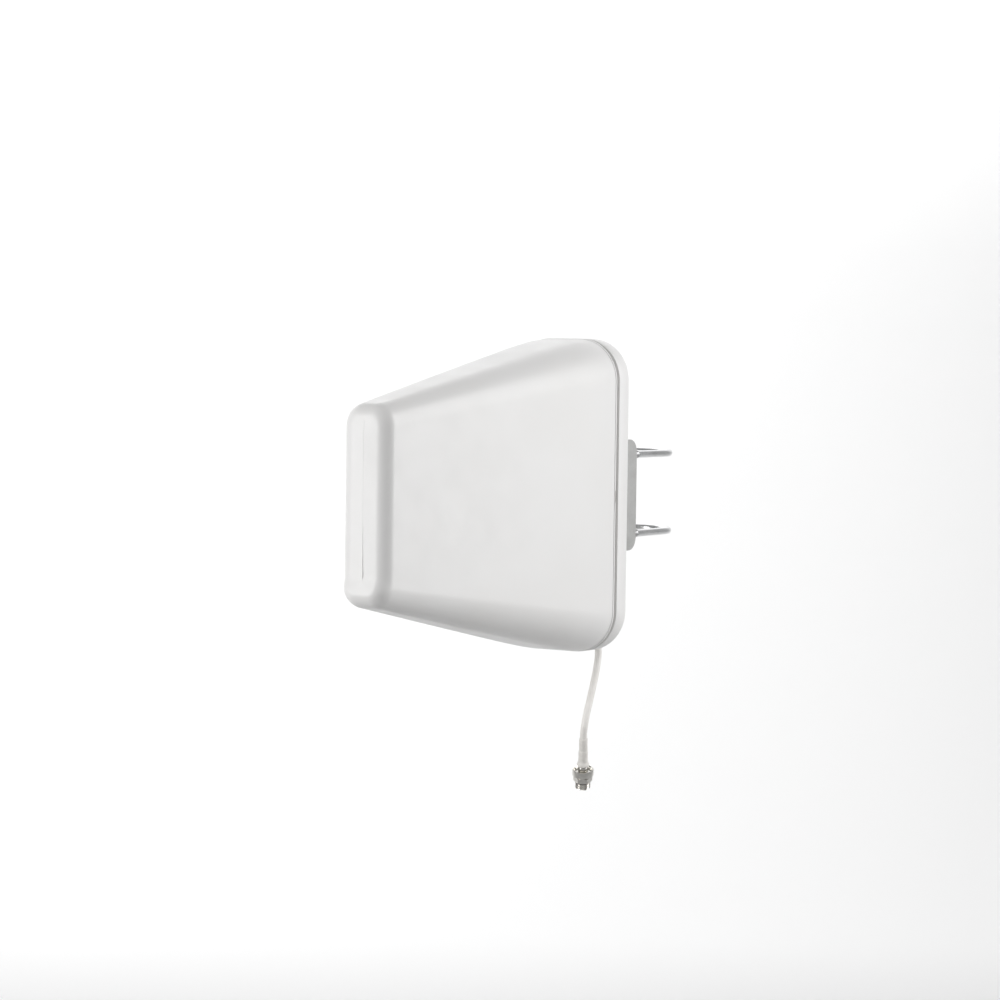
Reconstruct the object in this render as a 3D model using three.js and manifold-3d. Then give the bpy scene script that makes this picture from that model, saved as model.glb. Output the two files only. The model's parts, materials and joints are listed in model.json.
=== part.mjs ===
// Wide-band directional antenna: a row of dipoles on twin booms under a moulded cover,
// held to a mast by a channel bracket and two U-bolts, with a short coaxial lead.
// Origin on the mast axis at boom height. +X boresight, +Z up. Millimetres.
import * as THREE from 'three';
import { mergeVertices } from 'three/addons/utils/BufferGeometryUtils.js';
import Module from 'manifold-3d';

const wasm = await Module();
wasm.setup();
const { Manifold, Mesh: SolidMesh } = wasm;

// Housing
const BACK_X = 72;
const HOUSING_LENGTH = 252;
const SHOULDER = 18;
const RIM_HEIGHT = 210;
const RIM_THICKNESS = 81;
const RIM_RADIUS = 28;
const NOSE_HEIGHT = 122;
const NOSE_THICKNESS = 33.4;
const NOSE_RADIUS_Z = 13;
const NOSE_RADIUS_Y = 12;
const NOSE_ROUND = 8.4;
const NOSE_CROWN = 0.5;
const CHIN = 2.8;
const CHIN_TOP_Z = -42;
const CHIN_FULL_Z = -54;
const WALL = 2.5;
const COVER_DEPTH = 14.1;
const SEAM = 3;
const COVER_EDGE = 2.6;
const SPIGOT_LENGTH = 8;
const SPIGOT_WALL = 2.2;
const SPIGOT_DRAFT = 0.6;
const BEAD_WIDTH = 1.6;
const BEAD_RISE = 0.5;
const LATCH_SLOT = 8;
const LATCH_DEPTH = 1.5;
const DRAIN_RADIUS = 1.3;

// Fits
const GAP = 0.3;
const SPIGOT_GAP = 0.4;

// Radiating structure
const BOOM_SIZE = 9;
const BOOM_WALL = 1.2;
const BOOM_OFFSET = 7;
const BOOM_START = 96;
const BOOM_END = 314;
const ROD_RADIUS = 2;
const ROD_CHAMFER = 0.6;
const LONGEST_ROD = 95;
const ROD_RATIO = 0.875;
const ROD_SPACING = 0.186;
const FIRST_ROD_X = 113;
const ELEMENTS = 9;
const FEED_COAX_RADIUS = 1.8;

// Pole clamp
const BRACKET_HEIGHT = 75;
const BRACKET_HALF_WIDTH = 33.9;
const BRACKET_BACK_X = 50;
const BRACKET_SHEET = 2;
const BRACKET_CORNER = 9;
const FOOT_INNER_Y = 20.5;
const BRACKET_SCREW_Y = 26;
const BRACKET_SCREW_Z = 11;
const ACCESS_RADIUS = 4;
const MAST_RADIUS = 24.15;
const UBOLT_ROD = 2.5;
const UBOLT_HOLE_GAP = 0.35;
const UBOLT_LEG_Y = 26.95;
const UBOLT_Z = 27;
const UBOLT_LEG_X = 64;
const NUT_THICKNESS = 4;
const NUT_FLATS = 8;
const WASHER_THICKNESS = 1;
const WASHER_RADIUS = 4.5;
const JAW_HALF_WIDTH = 15.5;
const JAW_HEIGHT = 40;

// Lead
const CABLE_RADIUS = 2.4;
const OUTLET_Z = -88;
const JACK_AT = [44.7, -8.3, -204];
const JACK_TILT = 20;
const JACK_BEARING = 31;

const root = new THREE.Group();
root.name = 'yagi_antenna';

function paint(color, roughness, metalness) {
  return new THREE.MeshStandardMaterial({ color, roughness, metalness });
}

const finish = {
  housing: () => paint(0xe6e4e2, 0.42, 0),
  seal: () => paint(0x9a9a98, 0.8, 0),
  aluminium: () => paint(0xc3c5c6, 0.38, 0.9),
  brass: () => paint(0xc9a961, 0.35, 0.95),
  nylon: () => paint(0xd9d6cc, 0.55, 0),
  bracket: () => paint(0xb4b4b2, 0.45, 0.85),
  steel: () => paint(0xd2d3d4, 0.25, 0.95),
  nickel: () => paint(0xb9b6ae, 0.28, 0.95),
  jacket: () => paint(0xdcd8d0, 0.5, 0),
  boot: () => paint(0xd4d0c8, 0.6, 0),
  ptfe: () => paint(0xeeeeea, 0.5, 0),
};

function add(name, geometry, material) {
  const mesh = new THREE.Mesh(geometry, material);
  mesh.name = name;
  root.add(mesh);
  return mesh;
}

// Geometry helpers

function welded(geometry) {
  const plain = new THREE.BufferGeometry();
  plain.setAttribute('position', geometry.getAttribute('position').clone());
  if (geometry.index) {
    plain.setIndex(geometry.index.clone());
  }
  return mergeVertices(plain, 1e-4);
}

function solid(geometry) {
  const g = welded(geometry);
  const mesh = new SolidMesh({
    numProp: 3,
    vertProperties: new Float32Array(g.getAttribute('position').array),
    triVerts: new Uint32Array(g.index.array),
  });
  mesh.merge();
  return new Manifold(mesh);
}

function geometryOf(body) {
  const mesh = body.getMesh();
  const g = new THREE.BufferGeometry();
  g.setAttribute('position', new THREE.BufferAttribute(new Float32Array(mesh.vertProperties), 3));
  g.setIndex(new THREE.BufferAttribute(new Uint32Array(mesh.triVerts), 1));
  g.computeVertexNormals();
  return g;
}

function box(x0, x1, y0, y1, z0, z1) {
  const g = new THREE.BoxGeometry(x1 - x0, y1 - y0, z1 - z0);
  g.translate((x0 + x1) / 2, (y0 + y1) / 2, (z0 + z1) / 2);
  return g;
}

// A turned body: profile pairs are [distance along axis, radius], closed on the axis or on itself.
function turned(profile, segments, axis, at) {
  const points = profile.map(([a, r]) => new THREE.Vector2(r, a));
  const g = new THREE.LatheGeometry(points, segments);
  if (axis === 'x') {
    g.rotateZ(-Math.PI / 2);
  } else if (axis === 'z') {
    g.rotateX(Math.PI / 2);
  }
  g.translate(at[0], at[1], at[2]);
  return g;
}

function rod(radius, from, to, axis, at, segments = 20) {
  return turned([[from, 0], [from, radius], [to, radius], [to, 0]], segments, axis, at);
}

function sleeve(inner, outer, from, to, axis, at, segments = 32) {
  const ring = [[from, inner], [from, outer], [to, outer], [to, inner], [from, inner]];
  return turned(ring, segments, axis, at);
}

// Shares of each straight upright side that carry a point, closer together where the chin starts.
const SIDE_SHARES = [0.04, 0.09, 0.5, 0.91, 0.96];

// Rounded-rectangle outline in the Y-Z plane, counter-clockwise seen from +X.
function outline(halfY, halfZ, radiusY, radiusZ, steps = 8) {
  const corners = [[1, 1, 0], [-1, 1, 1], [-1, -1, 2], [1, -1, 3]];
  const points = [];
  for (const [sy, sz, quarter] of corners) {
    if (quarter % 2 === 0) {
      for (const share of SIDE_SHARES) {
        points.push([sy * halfY, sz * (halfZ - radiusZ) * (2 * share - 1)]);
      }
    }
    for (let i = 0; i <= steps; i += 1) {
      const angle = (quarter + i / steps) * Math.PI / 2;
      const y = sy * (halfY - radiusY) + radiusY * Math.cos(angle);
      const z = sz * (halfZ - radiusZ) + radiusZ * Math.sin(angle);
      points.push([y, z]);
    }
  }
  return points;
}

// How much of the chin's lean a point at height z takes, easing from none to all.
function chinShare(z) {
  const share = THREE.MathUtils.clamp((z - CHIN_TOP_Z) / (CHIN_FULL_Z - CHIN_TOP_Z), 0, 1);
  return share * share * (3 - 2 * share);
}

// Skin over a run of outlines; loops = [{x, points, lean}], ends closed by fans to the given centres.
// A loop with a lean is pushed towards +X by that much below the chin line.
function skin(loops, startX, endX) {
  const count = loops[0].points.length;
  const vertices = [];
  const faces = [];
  for (const loop of loops) {
    for (const [y, z] of loop.points) {
      vertices.push(loop.x + (loop.lean ?? 0) * chinShare(z), y, z);
    }
  }
  const join = (k, m) => {
    for (let i = 0; i < count; i += 1) {
      const j = (i + 1) % count;
      faces.push(k * count + i, k * count + j, m * count + j);
      faces.push(k * count + i, m * count + j, m * count + i);
    }
  };
  for (let k = 0; k + 1 < loops.length; k += 1) {
    join(k, k + 1);
  }
  if (startX === null) {
    join(loops.length - 1, 0);
  } else {
    const first = vertices.length / 3;
    vertices.push(startX, 0, 0, endX, 0, 0);
    const last = (loops.length - 1) * count;
    for (let i = 0; i < count; i += 1) {
      const j = (i + 1) % count;
      faces.push(first, j, i);
      faces.push(first + 1, last + i, last + j);
    }
  }
  const g = new THREE.BufferGeometry();
  g.setAttribute('position', new THREE.Float32BufferAttribute(vertices, 3));
  g.setIndex(faces);
  g.computeVertexNormals();
  return g;
}

// Housing

const SHELL_START = COVER_DEPTH + SEAM;

// The flare eases in over the shoulder, then runs straight to the nose.
function flareRun(b) {
  return Math.hypot(b - SHELL_START, SHOULDER) - SHOULDER;
}

function housingSection(b, inset) {
  const u = flareRun(b) / flareRun(HOUSING_LENGTH);
  const mix = (rim, nose) => rim + (nose - rim) * u;
  let trim = inset;
  let lean = 0;
  const roundStart = HOUSING_LENGTH - NOSE_ROUND;
  if (b > roundStart) {
    const s = Math.min((b - roundStart) / (NOSE_ROUND - inset), 1);
    trim += (NOSE_ROUND - inset) * (1 - Math.sqrt(1 - s * s));
    lean = CHIN * s;
  }
  const halfY = mix(RIM_THICKNESS / 2 - BEAD_RISE, NOSE_THICKNESS / 2);
  const halfZ = mix(RIM_HEIGHT / 2 - BEAD_RISE, NOSE_HEIGHT / 2);
  const radiusY = mix(RIM_RADIUS, NOSE_RADIUS_Y);
  const radiusZ = mix(RIM_RADIUS, NOSE_RADIUS_Z);
  const ry = Math.max(radiusY - trim, 1.2);
  const rz = Math.max(radiusZ - trim, 1.2);
  return { x: BACK_X + b, points: outline(halfY - trim, halfZ - trim, ry, rz), lean };
}

function noseStations(inset) {
  const stations = [];
  const reach = NOSE_ROUND - inset;
  for (let k = 0; k <= 7; k += 1) {
    stations.push(HOUSING_LENGTH - NOSE_ROUND + reach * Math.sin(k / 7 * Math.PI / 2));
  }
  return stations;
}

// Rings across the flat of the nose, so that the chin's lean dies out smoothly.
function faceLoops() {
  const halfY = NOSE_THICKNESS / 2 - NOSE_ROUND;
  const halfZ = NOSE_HEIGHT / 2 - NOSE_ROUND;
  return [0.45, 0.85].map((share) => {
    const shrink = halfY * share;
    const ry = (NOSE_RADIUS_Y - NOSE_ROUND) * (1 - share);
    const rz = (NOSE_RADIUS_Z - NOSE_ROUND) * (1 - share);
    return {
      x: BACK_X + HOUSING_LENGTH + NOSE_CROWN * share,
      points: outline(halfY - shrink, halfZ - shrink, ry, rz),
      lean: CHIN,
    };
  });
}

function shellBody() {
  const beadEnd = SHELL_START + BEAD_WIDTH;
  const runStations = [];
  for (let k = 1; k < 12; k += 1) {
    runStations.push(beadEnd + 0.6 + (HOUSING_LENGTH - NOSE_ROUND - beadEnd) * (k / 12) ** 1.4);
  }
  const outer = [
    housingSection(SHELL_START, -BEAD_RISE),
    housingSection(beadEnd, -BEAD_RISE),
    housingSection(beadEnd + 0.6, 0),
    ...runStations.map((b) => housingSection(b, 0)),
    ...noseStations(0).map((b) => housingSection(b, 0)),
    ...faceLoops(),
  ];
  const inner = [
    housingSection(SHELL_START, WALL),
    ...runStations.map((b) => housingSection(b, WALL)),
    ...noseStations(WALL).map((b) => housingSection(b, WALL)),
  ];
  inner[0].x -= 1;
  const outside = solid(skin(outer, BACK_X + SHELL_START, BACK_X + HOUSING_LENGTH + NOSE_CROWN));
  const inside = solid(skin(inner, inner[0].x, BACK_X + HOUSING_LENGTH - WALL + NOSE_CROWN));
  const drainX = BACK_X + HOUSING_LENGTH - 18;
  const floorZ = -NOSE_HEIGHT / 2;
  const drain = solid(rod(DRAIN_RADIUS, floorZ - 12, floorZ + 12, 'z', [drainX, 0, 0], 16));
  let body = outside.subtract(inside).subtract(drain);
  const edge = RIM_THICKNESS / 2;
  const startX = BACK_X + SHELL_START;
  const half = LATCH_SLOT / 2;
  for (const side of [1, -1]) {
    const low = Math.min(side * (edge - LATCH_DEPTH), side * (edge + 1));
    const high = Math.max(side * (edge - LATCH_DEPTH), side * (edge + 1));
    body = body.subtract(solid(box(startX - 1, startX + LATCH_DEPTH, low, high, -half, half)));
  }
  return body;
}

function rimOutline(inset) {
  const radius = RIM_RADIUS - inset;
  return outline(RIM_THICKNESS / 2 - inset, RIM_HEIGHT / 2 - inset, radius, radius);
}

const SPIGOT_INSET = BEAD_RISE + WALL + SPIGOT_GAP;
const COVER_INNER = SPIGOT_INSET + SPIGOT_WALL;

const screwSpots = [];
for (const sy of [1, -1]) {
  for (const sz of [1, -1]) {
    screwSpots.push([sy * BRACKET_SCREW_Y, sz * BRACKET_SCREW_Z]);
  }
}
const mountScrewZ = [17, -17];

function coverBody() {
  const at = (b, inset) => ({ x: BACK_X + b, points: rimOutline(inset) });
  const outer = [
    at(0, COVER_EDGE),
    at(COVER_EDGE * 0.08, COVER_EDGE * 0.6),
    at(COVER_EDGE * 0.3, COVER_EDGE * 0.3),
    at(COVER_EDGE * 0.6, COVER_EDGE * 0.08),
    at(COVER_EDGE, 0),
    at(COVER_DEPTH, 0),
    at(COVER_DEPTH, SPIGOT_INSET),
    at(COVER_DEPTH + SEAM, SPIGOT_INSET),
    at(COVER_DEPTH + SPIGOT_LENGTH, SPIGOT_INSET + SPIGOT_DRAFT),
  ];
  const topX = BACK_X + COVER_DEPTH + SPIGOT_LENGTH;
  let body = solid(skin(outer, BACK_X, topX));
  const hollow = [
    at(WALL, COVER_INNER + 1),
    at(WALL + 1, COVER_INNER),
    at(COVER_DEPTH + SPIGOT_LENGTH + 2, COVER_INNER),
  ];
  body = body.subtract(solid(skin(hollow, BACK_X + WALL, topX + 2)));
  for (const [y, z] of screwSpots) {
    body = body.add(solid(rod(4.2, BACK_X + 1, BACK_X + 12, 'x', [0, y, z])));
  }
  for (const z of mountScrewZ) {
    body = body.add(solid(rod(4.5, BACK_X + 1, BACK_X + 8, 'x', [0, 0, z])));
  }
  for (const [y, z] of screwSpots) {
    body = body.subtract(solid(rod(2.2, BACK_X - 1, BACK_X + 10, 'x', [0, y, z])));
  }
  for (const z of mountScrewZ) {
    body = body.subtract(solid(rod(1.8, BACK_X + 3, BACK_X + 9, 'x', [0, 0, z])));
  }
  body = body.subtract(solid(rod(5.2, BACK_X - 1, BACK_X + 4, 'x', [0, 0, OUTLET_Z])));
  return body;
}

function gasketBody() {
  const outerInset = 1.6;
  const innerInset = SPIGOT_INSET - GAP;
  const x0 = BACK_X + COVER_DEPTH + GAP;
  const x1 = BACK_X + SHELL_START - GAP;
  return skin([
    { x: x0, points: rimOutline(outerInset) },
    { x: x1, points: rimOutline(outerInset) },
    { x: x1, points: rimOutline(innerInset) },
    { x: x0, points: rimOutline(innerInset) },
  ], null, null);
}

add('radome_shell', geometryOf(shellBody()), finish.housing());
add('rear_cover', geometryOf(coverBody()), finish.housing());
add('cover_gasket', gasketBody(), finish.seal());

// Radiating structure

const elements = [];
let stationX = FIRST_ROD_X;
let rodLength = LONGEST_ROD;
for (let i = 0; i < ELEMENTS; i += 1) {
  elements.push({ x: stationX, length: rodLength });
  stationX += 2 * ROD_SPACING * rodLength;
  rodLength *= ROD_RATIO;
}

// Alternate elements swap sides, so each boom carries rods pointing up and down in turn.
function boomBody(side) {
  const half = BOOM_SIZE / 2;
  const bore = half - BOOM_WALL;
  const y = side * BOOM_OFFSET;
  let body = solid(box(BOOM_START, BOOM_END, y - half, y + half, -half, half));
  body = body.subtract(solid(box(BOOM_START - 1, BOOM_END + 1, y - bore, y + bore, -bore, bore)));
  elements.forEach(({ x }, i) => {
    const up = i % 2 === 0 ? side : -side;
    const low = Math.min(up * (bore - 1), up * (half + 1));
    const high = Math.max(up * (bore - 1), up * (half + 1));
    body = body.subtract(solid(rod(ROD_RADIUS + GAP, low, high, 'z', [x, y, 0], 16)));
  });
  return body;
}

add('boom_a', geometryOf(boomBody(1)), finish.aluminium());
add('boom_b', geometryOf(boomBody(-1)), finish.aluminium());

elements.forEach(({ x, length }, i) => {
  for (const side of [1, -1]) {
    const up = i % 2 === 0 ? side : -side;
    const from = BOOM_SIZE / 2 - BOOM_WALL;
    const profile = [
      [from, 0],
      [from, ROD_RADIUS],
      [length - ROD_CHAMFER, ROD_RADIUS],
      [length, ROD_RADIUS - ROD_CHAMFER],
      [length, 0],
    ];
    const g = turned(profile, 12, 'z', [0, 0, 0]);
    if (up < 0) {
      g.rotateX(Math.PI);
    }
    g.translate(x, side * BOOM_OFFSET, 0);
    add(`dipole_${i + 1}_${up > 0 ? 'upper' : 'lower'}`, g, finish.aluminium());
  }
});

const gapHalf = BOOM_OFFSET - BOOM_SIZE / 2 - GAP;
const shortSpan = [FIRST_ROD_X - 16, FIRST_ROD_X - 6];
add('rear_short', box(...shortSpan, -gapHalf, gapHalf, -BOOM_SIZE / 2, BOOM_SIZE / 2), finish.brass());

function spacerBody(x0, x1, halfY, halfZ) {
  const half = BOOM_SIZE / 2 + GAP;
  let body = solid(box(x0, x1, -halfY, halfY, -halfZ, halfZ));
  for (const y of [BOOM_OFFSET, -BOOM_OFFSET]) {
    body = body.subtract(solid(box(x0 - 1, x1 + 1, y - half, y + half, -half, half)));
  }
  return body;
}

const middleX = (elements[3].x + elements[4].x) / 2;
add('boom_spacer', geometryOf(spacerBody(middleX - 5, middleX + 5, 14.5, 7)), finish.nylon());
const NOSE_BLOCK_START = BOOM_END - 8;
add('nose_support', geometryOf(spacerBody(NOSE_BLOCK_START, BOOM_END - 1, 13.4, 16)), finish.nylon());

// Cradle between the cover and the rear of the booms.
function cradleBody() {
  const baseX = BACK_X + 8 + GAP;
  const armZ = BOOM_SIZE / 2 + GAP;
  let body = solid(box(baseX, baseX + 3, -13, 13, -22, 22));
  body = body.add(solid(box(baseX + 1, BOOM_START + 9, -13, 13, armZ, armZ + 3)));
  body = body.add(solid(box(baseX + 1, BOOM_START + 9, -13, 13, -armZ - 3, -armZ)));
  body = body.subtract(solid(box(baseX + 3.6, BOOM_START - 1, 3.5, 14, -armZ - 4, -armZ + 1)));
  for (const z of mountScrewZ) {
    body = body.subtract(solid(rod(1.8, baseX - 1, baseX + 4, 'x', [0, 0, z])));
  }
  return body;
}

add('boom_cradle', geometryOf(cradleBody()), finish.nylon());

function panScrew(shank, head, headHeight, tipX, seatX, at, direction) {
  const profile = [
    [tipX, 0],
    [tipX, shank],
    [seatX, shank],
    [seatX, head],
    [seatX + direction * headHeight * 0.6, head],
    [seatX + direction * headHeight, head * 0.6],
    [seatX + direction * headHeight, 0],
  ];
  const ordered = direction > 0 ? profile : profile.reverse();
  return turned(ordered, 24, 'x', at);
}

mountScrewZ.forEach((z, i) => {
  const seat = BACK_X + 8 + GAP + 3 + GAP;
  add(`cradle_screw_${i + 1}`, panScrew(1.5, 3, 2, BACK_X + 3 + GAP, seat, [0, 0, z], 1), finish.steel());
});

// Feed: the lead's coaxial line runs up inside boom A and bridges to boom B at the nose.
function swept(points, radius, steps, sides) {
  const path = new THREE.CatmullRomCurve3(points.map((p) => new THREE.Vector3(...p)), false, 'centripetal');
  const section = new THREE.Shape();
  section.absarc(0, 0, radius, 0, Math.PI * 2, false);
  return new THREE.ExtrudeGeometry(section, { steps, curveSegments: sides, extrudePath: path });
}

add('feed_coax', swept([
  [BACK_X + 9.6, 0, OUTLET_Z],
  [BACK_X + 10.6, 0, OUTLET_Z],
  [BACK_X + 13, 0, OUTLET_Z + 2],
  [BACK_X + 15.5, 1, OUTLET_Z + 10],
  [BACK_X + 15.5, 5, OUTLET_Z + 40],
  [BACK_X + 14.5, BOOM_OFFSET, -18],
  [BACK_X + 16, BOOM_OFFSET, -6],
  [BACK_X + 21, BOOM_OFFSET, -0.7],
  [BACK_X + 28, BOOM_OFFSET, 0],
  [BACK_X + 34, BOOM_OFFSET, 0],
  [BOOM_END - 10, BOOM_OFFSET, 0],
  [BOOM_END + 2.4, BOOM_OFFSET, 0],
], FEED_COAX_RADIUS, 56, 5), finish.jacket());

const tab = solid(box(BOOM_END + GAP, BOOM_END + GAP + 1, -10.5, 10.5, -3.5, 3.5));
const tabHole = solid(rod(FEED_COAX_RADIUS + GAP, BOOM_END - 1, BOOM_END + 3, 'x', [0, BOOM_OFFSET, 0]));
add('feed_tab', geometryOf(tab.subtract(tabHole)), finish.brass());

// Pole clamp

function flangePlate(side) {
  const shape = new THREE.Shape();
  const half = BRACKET_HEIGHT / 2;
  const front = BACK_X - GAP;
  const c = BRACKET_CORNER;
  shape.moveTo(front, -half);
  shape.lineTo(front, half);
  shape.lineTo(BRACKET_BACK_X + c, half);
  shape.absarc(BRACKET_BACK_X + c, half - c, c, Math.PI / 2, Math.PI, false);
  shape.lineTo(BRACKET_BACK_X, -half + c);
  shape.absarc(BRACKET_BACK_X + c, -half + c, c, Math.PI, Math.PI * 1.5, false);
  shape.lineTo(front, -half);
  const g = new THREE.ExtrudeGeometry(shape, { depth: BRACKET_SHEET, bevelEnabled: false, curveSegments: 8 });
  g.rotateX(Math.PI / 2);
  const outer = side > 0 ? BRACKET_HALF_WIDTH : -BRACKET_HALF_WIDTH + BRACKET_SHEET;
  g.translate(0, outer, 0);
  return g;
}

function bracketBody() {
  const half = BRACKET_HEIGHT / 2;
  const wide = BRACKET_HALF_WIDTH;
  const t = BRACKET_SHEET;
  const inset = BRACKET_CORNER * 0.55;
  const plate = box(BRACKET_BACK_X, BRACKET_BACK_X + t, -wide + 0.5, wide - 0.5, -half + inset, half - inset);
  let body = solid(plate);
  for (const side of [1, -1]) {
    body = body.add(solid(flangePlate(side)));
    const low = side > 0 ? FOOT_INNER_Y : -wide + 0.5;
    const high = side > 0 ? wide - 0.5 : -FOOT_INNER_Y;
    body = body.add(solid(box(BACK_X - GAP - t, BACK_X - GAP, low, high, -18, 18)));
  }
  for (const [y, z] of screwSpots) {
    body = body.subtract(solid(rod(2.2, BACK_X - 6, BACK_X + 1, 'x', [0, y, z])));
    body = body.subtract(solid(rod(ACCESS_RADIUS, BRACKET_BACK_X - 2, BRACKET_BACK_X + 4, 'x', [0, y, z])));
  }
  const hole = UBOLT_ROD + UBOLT_HOLE_GAP;
  for (const y of [UBOLT_LEG_Y, -UBOLT_LEG_Y]) {
    for (const z of [UBOLT_Z, -UBOLT_Z]) {
      body = body.subtract(solid(rod(hole, BRACKET_BACK_X - 2, BRACKET_BACK_X + 4, 'x', [0, y, z])));
    }
  }
  return body;
}

add('pole_bracket', geometryOf(bracketBody()), finish.bracket());

screwSpots.forEach(([y, z], i) => {
  const seat = BACK_X - GAP - BRACKET_SHEET - GAP;
  add(`bracket_screw_${i + 1}`, panScrew(1.9, 3.2, 2.2, BACK_X + 9.4, seat, [0, y, z], -1), finish.steel());
});

function jawBody() {
  const shape = new THREE.Shape();
  const back = BRACKET_BACK_X - GAP;
  const wide = JAW_HALF_WIDTH;
  const reach = MAST_RADIUS + GAP;
  const touch = Math.PI * 0.21;
  const apex = reach / Math.cos(touch);
  const tip = apex - wide * Math.tan(touch);
  const teeth = 5;
  shape.moveTo(back, -wide);
  shape.lineTo(back, wide);
  shape.lineTo(tip + 1.5, wide);
  for (let side = 1; side >= -1; side -= 2) {
    for (let k = 0; k <= teeth; k += 1) {
      const share = side > 0 ? 1 - k / teeth : k / teeth;
      const y = side * wide * share;
      const x = apex - wide * share * Math.tan(touch);
      shape.lineTo(x, y);
      if (k < teeth) {
        const between = side > 0 ? share - 0.5 / teeth : share + 0.5 / teeth;
        shape.lineTo(apex - wide * between * Math.tan(touch) + 1.1, side * wide * between);
      }
    }
  }
  shape.lineTo(tip + 1.5, -wide);
  const g = new THREE.ExtrudeGeometry(shape, { depth: JAW_HEIGHT, bevelEnabled: false });
  g.translate(0, 0, -JAW_HEIGHT / 2);
  return g;
}

add('pole_jaw', jawBody(), finish.bracket());

class UBoltPath extends THREE.Curve {
  constructor(radius, leg) {
    super();
    this.radius = radius;
    this.leg = leg;
    this.total = 2 * leg + Math.PI * radius;
  }

  getPoint(t, target = new THREE.Vector3()) {
    const s = t * this.total;
    if (s <= this.leg) {
      return target.set(this.leg - s, this.radius, 0);
    }
    if (s >= this.total - this.leg) {
      return target.set(s - this.total + this.leg, -this.radius, 0);
    }
    const angle = Math.PI / 2 + (s - this.leg) / this.radius;
    return target.set(this.radius * Math.cos(angle), this.radius * Math.sin(angle), 0);
  }
}

function uboltBody(z) {
  const section = new THREE.Shape();
  section.absarc(0, 0, UBOLT_ROD, 0, Math.PI * 2, false);
  const path = new UBoltPath(UBOLT_LEG_Y, UBOLT_LEG_X);
  const g = new THREE.ExtrudeGeometry(section, { steps: 60, curveSegments: 6, extrudePath: path });
  g.translate(0, 0, z);
  return g;
}

function nutBody(y, z) {
  const corner = NUT_FLATS / Math.sqrt(3);
  const shape = new THREE.Shape();
  for (let k = 0; k < 6; k += 1) {
    const angle = (k + 0.5) * Math.PI / 3;
    const point = [corner * Math.cos(angle), corner * Math.sin(angle)];
    if (k === 0) {
      shape.moveTo(...point);
    } else {
      shape.lineTo(...point);
    }
  }
  shape.closePath();
  const hole = new THREE.Path();
  hole.absarc(0, 0, UBOLT_ROD + GAP, 0, Math.PI * 2, true);
  shape.holes.push(hole);
  const options = { depth: NUT_THICKNESS, bevelEnabled: false, curveSegments: 12 };
  const g = new THREE.ExtrudeGeometry(shape, options);
  g.rotateY(Math.PI / 2);
  g.translate(NUT_X, y, z);
  return g;
}

const WASHER_X = BRACKET_BACK_X + BRACKET_SHEET + GAP;
const NUT_X = WASHER_X + WASHER_THICKNESS + GAP;
for (const [level, z] of [['upper', UBOLT_Z], ['lower', -UBOLT_Z]]) {
  add(`${level}_ubolt`, uboltBody(z), finish.steel());
  for (const [hand, y] of [['left', UBOLT_LEG_Y], ['right', -UBOLT_LEG_Y]]) {
    const at = [0, y, z];
    const ring = sleeve(UBOLT_ROD + GAP, WASHER_RADIUS, WASHER_X, WASHER_X + WASHER_THICKNESS, 'x', at, 24);
    add(`${level}_${hand}_washer`, ring, finish.steel());
    add(`${level}_${hand}_nut`, nutBody(y, z), finish.steel());
  }
}

// Lead: gland, cable and threaded coaxial jack

const glandAt = [BACK_X, 0, OUTLET_Z];
add('cable_gland', turned([
  [-13, CABLE_RADIUS + GAP],
  [-13, 3.9],
  [-3.6, 5.2],
  [-2.6, 8],
  [-GAP, 8],
  [-GAP, 4.9],
  [8, 4.9],
  [8, CABLE_RADIUS + GAP],
  [-13, CABLE_RADIUS + GAP],
], 32, 'x', glandAt), finish.housing());

function glandNutBody() {
  const corner = 13 / Math.sqrt(3);
  const profile = [[WALL + GAP, 0], [WALL + GAP, corner], [6.5, corner], [6.5, 0]];
  const blank = solid(turned(profile, 6, 'x', glandAt));
  return blank.subtract(solid(rod(4.9 + GAP, 0, 9, 'x', glandAt, 32)));
}

add('gland_nut', geometryOf(glandNutBody()), finish.nylon());

// The jack hangs at a slant: its parts are made upright on the mating face, then leaned as one.
const tilt = THREE.MathUtils.degToRad(JACK_TILT);
const bearing = THREE.MathUtils.degToRad(JACK_BEARING);
const jackAxis = new THREE.Vector3(
  Math.sin(tilt) * Math.cos(bearing),
  Math.sin(tilt) * Math.sin(bearing),
  Math.cos(tilt),
);
const jackLean = new THREE.Quaternion().setFromUnitVectors(new THREE.Vector3(0, 0, 1), jackAxis);

function onJack(distance) {
  const point = jackAxis.clone().multiplyScalar(distance);
  return [JACK_AT[0] + point.x, JACK_AT[1] + point.y, JACK_AT[2] + point.z];
}

function leaned(g) {
  g.applyQuaternion(jackLean);
  g.translate(...JACK_AT);
  return g;
}

add('coax_cable', swept([
  [BACK_X + 9, 0, OUTLET_Z],
  [BACK_X + 8, 0, OUTLET_Z],
  [BACK_X - 4, 0, OUTLET_Z],
  [BACK_X - 15, 0, OUTLET_Z],
  [BACK_X - 25, 0, OUTLET_Z - 4],
  [BACK_X - 31, -0.3, OUTLET_Z - 13],
  [BACK_X - 32.2, -0.2, OUTLET_Z - 24],
  [BACK_X - 28.8, 0.5, OUTLET_Z - 33.6],
  [BACK_X - 25.3, 0.9, OUTLET_Z - 41],
  [BACK_X - 18.9, 1.4, OUTLET_Z - 54],
  [BACK_X - 15.2, 1, OUTLET_Z - 64],
  [BACK_X - 14.1, 0.3, OUTLET_Z - 71.5],
  onJack(41),
  onJack(38),
  onJack(12.5),
], CABLE_RADIUS, 80, 7), finish.jacket());

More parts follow.
